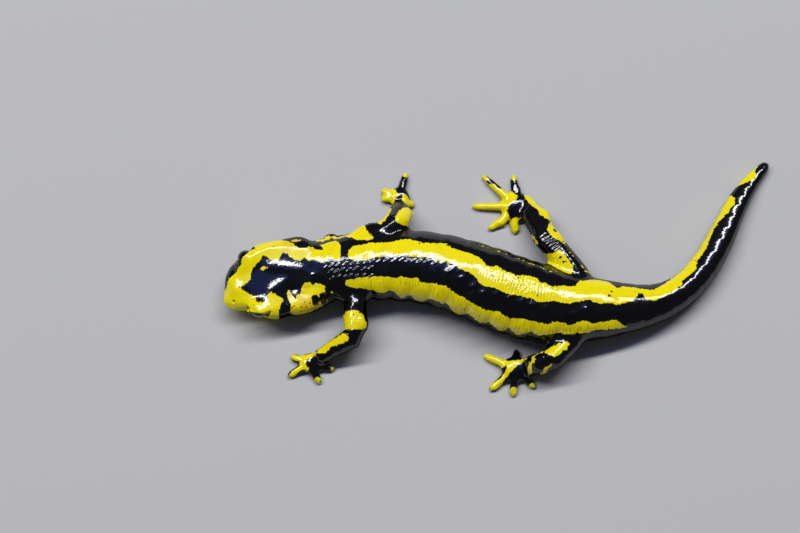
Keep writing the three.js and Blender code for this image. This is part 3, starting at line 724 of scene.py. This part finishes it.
# ---------------------------------------------------------------- marks on the limbs
# The same yellow on the limbs. Each outline is a closed line on the plan, in millimetres from
# the snout, and it ends where the skin turns under.
LIMB_MARKS = [
    # right fore: forearm, its front edge, the palm and the root of the last finger
    [(48.5, 19.9), (48.8, 20.8), (49.5, 22.9), (51.1, 24.8), (52.4, 25.2), (55, 25),
     (55.6, 21), (54, 19.4), (52.2, 18.7), (49.9, 19)],
    [(43.7, 19.5), (44.2, 20.6), (44.9, 21.9), (45.6, 23.2), (46.2, 24.4), (47.5, 25.4),
     (47.9, 24.6), (47.1, 22.6), (46.4, 20.7), (45.7, 19.9), (44.9, 19.3)],
    [(46.4, 25.5), (47.7, 25.8), (48.2, 27), (47.8, 28.6), (49.8, 29), (50.1, 29.8),
     (49.3, 30.7), (48, 30.2), (45.9, 29), (45.6, 27)],
    [(50.5, 28.7), (51.1, 29.9), (51.9, 30.2), (52.8, 29), (53.1, 27.5), (53, 25.8),
     (52.2, 26), (51.5, 27.2)],
    # left fore: upper arm, forearm, and strips back over the hand
    [(33.3, -11.2), (32.2, -9.4), (33, -7.2), (34.8, -6), (38.2, -5.9), (39.6, -6.8),
     (40.5, -8.8), (40.7, -10.6), (39.8, -11.4), (36.4, -11.6), (35.1, -11.4)],
    [(33.9, -12.1), (34.9, -12.7), (35.7, -13.8), (35.1, -14.8), (33.8, -15.3), (31.8, -15.8),
     (30.4, -16), (28.9, -17.8), (27.6, -17.7), (25.8, -17.4), (27, -15.9), (29.6, -14.2),
     (32.1, -12.9)],
    [(25.9, -16.5), (24.4, -17.3), (22, -17.5), (18.4, -17.2), (18.4, -18.6), (20.4, -19.4),
     (22.4, -19.6), (24.2, -18.7), (26.3, -17.5)],
    [(21.2, -19.3), (23.1, -19.3), (23, -20.5), (24.2, -21.7), (23.5, -22.4), (22.3, -21.9),
     (20.8, -22.6), (18.6, -25.4), (17, -24.6), (19, -22), (21, -20.8)],
    # right hind: thigh, shank, and the front of the foot
    [(91.2, 11.6), (92.6, 10.9), (94.2, 10.8), (96, 11.9), (96.8, 11.3), (98.1, 9.7), (99.2, 8.2),
     (100.3, 6.7), (99.7, 4.8), (98.4, 3.9), (96.4, 4.6), (94.4, 6.4), (92.6, 8.4)],
    [(86.4, 32.6), (88.6, 31.4), (91.2, 28.8), (93.4, 26.2), (95.2, 23.6), (96.8, 20.6),
     (98.4, 16.4), (97.7, 13.7), (96, 14.2), (94.2, 15.7), (92.7, 17.6), (93.1, 19.4),
     (93.9, 20.7), (92.6, 21.6), (90.7, 22.6), (90.3, 24), (89, 25.5), (87.8, 27.2),
     (86.7, 29)],
    [(82, 32.2), (84.9, 29.6), (84.6, 28.2), (83.5, 27.2), (82.2, 26.4), (81.8, 25), (82.4, 23.2),
     (83, 22), (86.3, 19.8), (86, 17.5), (76, 20), (74, 30), (80, 32)],
    # left hind: thigh, two crescents, and a band to the third toe
    [(91.1, -17.6), (93.1, -16.6), (95, -15.7), (97.4, -14.9), (98.7, -15.6), (98, -17),
     (96.3, -18.2), (95, -19.2), (94, -19.6), (92.8, -18.9), (91.5, -18.3)],
    [(88.1, -18.8), (87.2, -20.8), (87, -22.4), (87.4, -23.6), (88.2, -23.2), (88.2, -21.2),
     (88.9, -19.6)],
    [(94, -21), (92.9, -22.6), (91.5, -23.9), (90, -24.4), (91.2, -22.5), (92.3, -21.5)],
    [(86.6, -19), (84.2, -18.9), (81.6, -19.4), (79.6, -18.6), (79.4, -20), (81, -20.9),
     (80.6, -22.4), (79.2, -24.4), (76.2, -26), (76.2, -28), (79.3, -27.3), (79.9, -25.8),
     (82, -22.9), (84, -21.1)],
]
LIMB_LINES = [
    (0.3, [(90, 13.9), (88.4, 16.6), (86.9, 19.2)]),
    (0.14, [(97.8, 13.1), (98.8, 11.2), (100.1, 9.9)]),
    (0.16, [(102.4, 7.4), (103.7, 5.8), (105.5, 5.3)]),
    (0.3, [(88.2, 28.8), (87, 31), (86.2, 33.1)]),
    (0.25, [(91.1, -17.6), (89.4, -18.2), (87.9, -19.3)]),
]
# Digits: start of the yellow and its end on the plan, and half width.
YELLOW_DIGITS = [
    ((47.6, 29), (43, 28.7), 1.5), ((48, 30.4), (44, 32), 1.3), ((52, 36.2), (52.2, 37), 1.2),
    ((52.8, 27.2), (55.5, 26), 1.3),
    ((26.4, -25), (26.9, -26), 1.2), ((30.9, -21.6), (31.6, -21.9), 0.9),
    ((84.2, 21), (84.2, 18), 2.1), ((80.4, 22.6), (75.4, 18.8), 2.0), ((79.6, 26.2), (70, 26.7), 1.9),
    ((80, 29.4), (74, 36), 1.1), ((83.8, 35.2), (83.7, 36.4), 1.1),
    ((83, -28.2), (83.1, -30), 1.4), ((88.9, -26.9), (89.6, -27.8), 1.3),
    ((79.5, -19.8), (73.4, -17), 1.6),
]
BLACK_LIMB_SPOTS = [
    (77.4, 33.9, 1.3, 0.6), (97.5, 8.2, 0.5, 0.3), (96.4, 9.4, 0.3, 0.25), (95, 17.8, 0.5, 0.35),
]
plan_yellow = np.max(
    [inside_outline(plan, outline) for outline in LIMB_MARKS]
    + [inside_line(plan, wide, line) for wide, line in LIMB_LINES]
    + [inside_line(plan, wide, [start, end]) for start, end, wide in YELLOW_DIGITS],
    axis=0,
)
for spot in BLACK_LIMB_SPOTS:
    plan_yellow = np.minimum(plan_yellow, -inside_spot(plan, spot))
turned_under = (normals_of(skin)[:, 2] + 0.45) * 2.5
limb_yellow = np.minimum.reduce([plan_yellow, turned_under, (limb_share - 0.15) * 6])
yellow = np.maximum(limb_yellow, np.minimum(body_yellow, (0.85 - limb_share) * 6))

# ---------------------------------------------------------------- measures on the skin
# The finish follows the skin, so it carries its own measures: how far inside yellow, how far
# along the body or limb and round it, where wrinkles run, where the glands swell, where the skin
# is smooth, and how much of the wet film lies on it: it runs off the flanks.
on_trunk = blend_in(at, 36, 44) * (1 - 0.6 * blend_in(at, 106, 120))
transverse = on_trunk * (0.65 * blend_in(-around, 4.5, 8) + 0.3 * blend_in(around, 1, 6))
transverse = np.maximum(transverse, 3.2 * hump(at, 87, 11) * hump(around, 2.2, 4.5))
transverse = np.maximum(transverse, 0.8 * hump(at, 22.5, 2) * hump(around, 4.2, 2.2))
transverse = np.maximum(transverse, 0.8 * hump(at, 123, 5) * hump(around, 0, 2.5))
wrinkle = transverse * (1 - blend_in(limb_share, 0.05, 0.4))
wrinkle += blend_in(limb_share, 0.6, 0.95) * (0.12 + 0.6 * hump(from_bend, 0, 3.5))
left_gland = np.sqrt(((at - 22.5) / 7) ** 2 + ((around + 9.5) / 6) ** 2)
right_gland = np.sqrt(((at - 22.5) / 7) ** 2 + ((around - 10) / 5) ** 2)
gland = np.maximum(1 - blend_in(left_gland, 0.6, 1.1), 0.75 * (1 - blend_in(right_gland, 0.5, 1.0)))
smooth = np.maximum(1 - blend_in(at, 26, 31), blend_in(at, 122, 134))
smooth = np.maximum(smooth, hump(at, 43, 12) * hump(around, 4, 4))
smooth = np.maximum(smooth, 0.8 * hump(at, 88, 14) * hump(around, 2.2, 4.5))
film = 0.06 + 0.94 * blend_in(normals_of(skin)[:, 2], 0.1, 0.65)
film *= 1 - 0.6 * hump(at, 38, 9) * hump(around, 3.4, 2.0)
SKIN_MEASURES = {
    "yellow_mm": yellow,
    "along_mm": np.where(limb_share > 0.5, limb_along, at),
    "around_mm": around,
    "wrinkle": wrinkle,
    "gland": gland * body_share,
    "smooth": smooth,
    "film": film,
}

skin_mesh = bpy.data.meshes.new("skin")
skin_object = bpy.data.objects.new("skin", skin_mesh)
bpy.context.scene.collection.objects.link(skin_object)
bmesh.ops.scale(skin, vec=Vector((MM,) * 3), verts=skin.verts)
skin.to_mesh(skin_mesh)
skin.free()
skin_mesh.shade_smooth()
for name, values in SKIN_MEASURES.items():
    measure = skin_mesh.attributes.new(name, "FLOAT", "POINT")
    measure.data.foreach_set("value", np.asarray(values, np.float32))

# ---------------------------------------------------------------- skin finish
# Wet amphibian skin: smooth thin epidermis with a film of mucus over it, black and chrome
# yellow. The film gives sharp white glints; the grain and fine folds under it break them up.
BLACK = "040405"
BLACK_SHEEN = "08090c"
YELLOW = "f9e802"
YELLOW_DEEP = "e2c800"
GLAND_ORANGE = "dca600"
# Olive painted as shade in the fold creases.
CREASE_SHADE_OLIVE = "8c7a08"
FOLD_PITCH = 0.92  # mm between fine folds
GRAIN_SIZE = 0.55  # mm; the real grain is nearer 0.2 and is drawn this coarse so that it shows


def linear(code):
    """An sRGB hex colour as the linear colour that a shader takes."""
    parts = [int(code[k : k + 2], 16) / 255 for k in (0, 2, 4)]
    return [c / 12.92 if c <= 0.04045 else ((c + 0.055) / 1.055) ** 2.4 for c in parts] + [1]


def add(tree, kind, inputs, out=0):
    """Adds one node and gives back one of its outputs. Each input is a property or a socket,
    and it is set to a value or linked to another node's output."""
    node = tree.nodes.new("ShaderNode" + kind)
    for key, value in inputs.items():
        if isinstance(value, bpy.types.NodeSocket):
            tree.links.new(value, node.inputs[key])
        elif isinstance(key, str) and hasattr(node, key):
            setattr(node, key, value)
        else:
            node.inputs[key].default_value = value
    return node.outputs[out] if node.outputs else node


def new_material(name):
    material = bpy.data.materials.new(name)
    material.use_nodes = True
    material.node_tree.nodes.clear()
    return material, material.node_tree


wet_skin, tree = new_material("wet_amphibian_skin_black_and_yellow")
place = add(tree, "TexCoord", {}, "Object")
place_mm = add(tree, "Mapping", {"Vector": place, "Scale": (1 / MM,) * 3})
yellow_mm, along, round_body, wrinkles, glands, smoothness, film = (
    add(tree, "Attribute", {"attribute_name": name}, "Fac") for name in SKIN_MEASURES
)

# Fine folds run across the body, made of bands and streaks. Distances round the body are
# shortened for them, so that each fold is long and thin.
FOLD_DRAW = 0.22
WAVE_PERIOD = 0.314159  # of a band wave at scale 1
round_drawn = add(tree, "Math", {"operation": "MULTIPLY", 0: round_body, 1: FOLD_DRAW})
folds_place = add(tree, "CombineXYZ", {"X": along, "Y": round_drawn})
bands = add(tree, "TexWave", {
    "Vector": folds_place, "Scale": WAVE_PERIOD / FOLD_PITCH, "Distortion": 3.2, "Detail": 2,
    "Detail Scale": 1.2,
}, "Fac")
streaks = add(tree, "TexNoise", {
    "Vector": folds_place, "Scale": 1 / 0.62, "Detail": 2, "Roughness": 0.6,
})
streaks = add(tree, "MapRange", {
    "Value": streaks, "From Min": 0.3, "From Max": 0.7, "To Max": 0.6,
})
folds = add(tree, "Math", {"operation": "MULTIPLY_ADD", 0: bands, 1: 0.4, 2: streaks})

# The edge of the yellow is toothed along the folds and ragged all over.
edge = yellow_mm
for over, size, detail, least, most in (
    (folds_place, 0.95, 1, -0.3, 0.14), (place_mm, 0.7, 2, -0.16, 0.16),
):
    noise = add(tree, "TexNoise", {"Vector": over, "Scale": 1 / size, "Detail": detail})
    shift = add(tree, "MapRange", {
        "Value": noise, "From Min": 0.3, "From Max": 0.7, "To Min": least, "To Max": most,
    })
    edge = add(tree, "Math", {"operation": "ADD", 0: edge, 1: shift})
in_yellow = add(tree, "MapRange", {"Value": edge, "From Min": -0.07, "From Max": 0.07})

# Black flecks are scattered in the yellow, and black pores stand low on the left gland.
flecks = add(tree, "TexVoronoi", {"Vector": place_mm, "Scale": 1 / 2.6, "Randomness": 1})
fleck_choice = add(tree, "SeparateColor", {"Color": flecks.node.outputs["Color"]})
flecks = add(tree, "Math", {"operation": "MULTIPLY_ADD", 0: fleck_choice, 1: -0.12, 2: flecks})
in_fleck = add(tree, "MapRange", {"Value": flecks, "From Min": 0.01, "From Max": -0.02})
pores = add(tree, "TexVoronoi", {"Vector": place_mm, "Scale": 1 / 1.15, "Randomness": 0.55})
pore_rows = add(tree, "MapRange", {
    "Value": round_body, "From Min": -9.6, "From Max": -11, "To Max": glands,
})
in_pore = add(tree, "MapRange", {
    "Value": pores, "From Min": 0.24, "From Max": 0.14, "To Max": pore_rows,
})
in_pore_or_fleck = add(tree, "Math", {"operation": "MAXIMUM", 0: in_pore, 1: in_fleck})

# The yellow deepens in patches and turns orange over the glands. Olive is painted into the fold
# creases as shade, strongest on the left flank, the side turned from the lamp.
hue = add(tree, "TexNoise", {"Vector": place_mm, "Scale": 1 / 3.2, "Detail": 3})
deep = add(tree, "MapRange", {"Value": hue, "From Min": 0.5, "From Max": 0.85, "To Max": 0.55})
orange = add(tree, "MapRange", {"Value": hue, "From Min": 0.4, "From Max": 0.66, "To Max": 0.6})
orange = add(tree, "Math", {"operation": "MULTIPLY", 0: glands, 1: orange})
painted_crease_shade = add(tree, "MapRange", {"Value": wrinkles, "To Max": 0.8})
painted_crease_shade = add(tree, "MapRange", {
    "Value": folds, "From Min": 0.42, "From Max": 0.12, "To Max": painted_crease_shade,
})
# The painted crease shade grows from the back towards the left flank, away from the lamp.
shade_toward_left_flank = add(tree, "MapRange", {
    "Value": round_body, "From Min": -2, "From Max": -7, "To Min": 0.12,
})
painted_crease_shade = add(tree, "Math", {"operation": "MULTIPLY", 0: painted_crease_shade, 1: shade_toward_left_flank})
yellow_tone = linear(YELLOW)
for share, colour in (
    (deep, YELLOW_DEEP), (orange, GLAND_ORANGE), (painted_crease_shade, CREASE_SHADE_OLIVE), (in_pore_or_fleck, BLACK),
):
    yellow_tone = add(
        tree, "Mix", {"data_type": "RGBA", 0: share, 6: yellow_tone, 7: linear(colour)}, 2
    )
sheen = add(tree, "MapRange", {"Value": hue, "From Min": 0.4, "From Max": 0.75})
black_tone = add(
    tree, "Mix", {"data_type": "RGBA", 0: sheen, 6: linear(BLACK), 7: linear(BLACK_SHEEN)}, 2
)
skin_colour = add(
    tree, "Mix", {"data_type": "RGBA", 0: in_yellow, 6: black_tone, 7: yellow_tone}, 2
)

# The relief is low pebbles, with folds where the skin wrinkles, a fine grain, and the pores.
grain = add(tree, "TexVoronoi", {
    "Vector": place_mm, "feature": "SMOOTH_F1", "Scale": 1 / GRAIN_SIZE,
})
pebbles = add(tree, "TexNoise", {
    "Vector": place_mm, "Scale": 1 / 1.1, "Detail": 3, "Roughness": 0.6,
})
fold_depth = add(tree, "TexNoise", {"Vector": place_mm, "Scale": 1 / 2.6, "Detail": 2})
fold_depth = add(tree, "MapRange", {
    "Value": fold_depth, "From Min": 0.35, "From Max": 0.65, "To Min": 0.03, "To Max": 0.11,
})
fold_depth = add(tree, "Math", {"operation": "MULTIPLY", 0: wrinkles, 1: fold_depth})
pebble_height = add(tree, "MapRange", {"Value": smoothness, "To Min": 0.085, "To Max": 0.03})
skin_height = add(tree, "Math", {"operation": "MULTIPLY", 0: pebbles, 1: pebble_height})
for pattern, height in ((folds, fold_depth), (grain, -0.03), (in_pore, -0.08)):
    skin_height = add(
        tree, "Math", {"operation": "MULTIPLY_ADD", 0: pattern, 1: height, 2: skin_height}
    )
relief, film_relief = (
    add(tree, "Bump", {"Height": skin_height, "Strength": strength, "Distance": MM})
    for strength in (1, 0.6)
)
film_roughness = add(tree, "MapRange", {
    "Value": pebbles, "From Min": 0.3, "From Max": 0.7, "To Min": 0.06, "To Max": 0.13,
})
yellow_gland = add(tree, "Math", {"operation": "MULTIPLY", 0: glands, 1: in_yellow})
skin_shader = add(tree, "BsdfPrincipled", {
    "Base Color": skin_colour,
    "Roughness": add(tree, "MapRange", {
        "Value": hue, "From Min": 0.3, "From Max": 0.7, "To Min": 0.34, "To Max": 0.46,
    }),
    "IOR": 1.4,
    "Specular IOR Level": add(tree, "Math", {"operation": "MULTIPLY", 0: film, 1: 0.07}),
    "Specular Tint": linear("b9d0ff"),
    "Coat Weight": film,
    "Coat IOR": 1.6,
    "Coat Roughness": add(
        tree, "Math", {"operation": "MULTIPLY_ADD", 0: yellow_gland, 1: 0.2, 2: film_roughness}
    ),
    "Normal": relief,
    "Coat Normal": film_relief,
})
add(tree, "OutputMaterial", {"Surface": skin_shader})
skin_mesh.materials.clear()
skin_mesh.materials.append(wet_skin)
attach(skin_object, "root")
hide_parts(*flesh_nodes)

# ---------------------------------------------------------------- eyes
# Bulging dark eyes, glossy under the same wet film: a black round pupil in a brown-black iris,
# with a slightly raised clear front. Each is a ball set in its socket under the lid.
PUPIL_REACH = 0.55  # share of the ball's radius
eye_material, tree = new_material("wet_eye_dark_iris")
iris_place = add(tree, "Attribute", {"attribute_name": "from_pupil"}, "Fac")
place = add(tree, "TexCoord", {}, "Object")
iris_fibres = add(tree, "TexNoise", {"Vector": place, "Scale": 2.2 / MM, "Detail": 2})
in_iris = add(tree, "MapRange", {
    "Value": iris_place, "From Min": PUPIL_REACH - 0.03, "From Max": PUPIL_REACH + 0.03,
})
eye_white = add(tree, "MapRange", {"Value": iris_place, "From Min": 1, "From Max": 1.1})
iris_tone = add(
    tree, "Mix",
    {"data_type": "RGBA", 0: iris_fibres, 6: linear("0d0a08"), 7: linear("1c130c")}, 2,
)
eye_tone = add(
    tree, "Mix", {"data_type": "RGBA", 0: in_iris, 6: linear("040404"), 7: iris_tone}, 2
)
eye_tone = add(
    tree, "Mix", {"data_type": "RGBA", 0: eye_white, 6: eye_tone, 7: linear("0a090a")}, 2
)
eye_shader = add(tree, "BsdfPrincipled", {
    "Base Color": eye_tone, "Roughness": 0.12, "IOR": 1.38, "Coat Weight": 1,
    "Coat Roughness": 0.03,
})
add(tree, "OutputMaterial", {"Surface": eye_shader})
for side, name in ((1, "eye_right"), (-1, "eye_left")):
    middle = Vector(on_spine(EYE_AT, side * EYE_ASIDE, EYE_HEIGHT))
    outward = Vector(on_spine(EYE_AT - 3.5, side * (EYE_ASIDE + 10), EYE_HEIGHT + 2.5)) - middle
    outward.normalize()
    ball = bmesh.new()
    bmesh.ops.create_uvsphere(ball, u_segments=64, v_segments=40, radius=EYE_RADIUS)
    from_pupil = []
    for v in ball.verts:
        turned = math.acos(max(-1, min(1, v.co.normalized().dot(outward)))) / (math.pi / 3)
        from_pupil.append(turned)
        v.co *= 1 + 0.05 * math.exp(-((turned / 0.8) ** 2))
    bmesh.ops.translate(ball, vec=middle, verts=ball.verts)
    bmesh.ops.scale(ball, vec=Vector((MM,) * 3), verts=ball.verts)
    eye_mesh = bpy.data.meshes.new(name + "_ball")
    ball.to_mesh(eye_mesh)
    ball.free()
    eye_mesh.shade_smooth()
    eye_mesh.attributes.new("from_pupil", "FLOAT", "POINT").data.foreach_set("value", from_pupil)
    eye_mesh.materials.append(eye_material)
    eyeball = bpy.data.objects.new(name + "_ball", eye_mesh)
    bpy.context.scene.collection.objects.link(eyeball)
    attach(eyeball, "root")
    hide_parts(name)

# ---------------------------------------------------------------- floor and light
# A plain pale studio floor. One long soft lamp hangs along the animal over its right side, so
# that its reflection runs as a thin line along every ridge. A weak blue one lies beside it, and
# the room fills in.
floor_shape = bmesh.new()
bmesh.ops.create_grid(floor_shape, x_segments=1, y_segments=1, size=3)
floor_mesh = bpy.data.meshes.new("floor")
floor_shape.to_mesh(floor_mesh)
floor_shape.free()
floor = bpy.data.objects.new("floor", floor_mesh)
bpy.context.scene.collection.objects.link(floor)
floor_material, tree = new_material("matt_paper_floor")
paper = add(tree, "BsdfPrincipled", {"Base Color": linear("c2c2bf"), "Roughness": 0.9})
add(tree, "OutputMaterial", {"Surface": paper})
floor_mesh.materials.append(floor_material)

world = bpy.data.worlds.new("studio")
bpy.context.scene.world = world
world.use_nodes = True
room = world.node_tree.nodes["Background"]
room.inputs["Color"].default_value = linear("eef1f8")
room.inputs["Strength"].default_value = 0.065


def add_lamp(name, place, aim, size, energy, colour):
    """A flat oblong lamp; its size is across the animal's length and over it."""
    lamp = bpy.data.objects.new(name, bpy.data.lights.new(name, "AREA"))
    bpy.context.scene.collection.objects.link(lamp)
    lamp.data.shape = "RECTANGLE"
    lamp.data.size, lamp.data.size_y = size
    lamp.data.energy = energy
    lamp.data.color = linear(colour)[:3]
    lamp.location = place
    lamp.rotation_mode = "QUATERNION"
    lamp.rotation_quaternion = (Vector(aim) - lamp.location).to_track_quat("-Z", "Y")
    return lamp


add_lamp("key", (-0.25, 1.04, 2.15), (-0.02, 0, 0), (3.7, 0.24), 72, "fbfbff")
add_lamp("sky", (-0.25, 0.62, 2.3), (-0.02, 0, 0), (3.7, 0.5), 4, "4a72ff")
bpy.context.scene.view_settings.view_transform = "Standard"
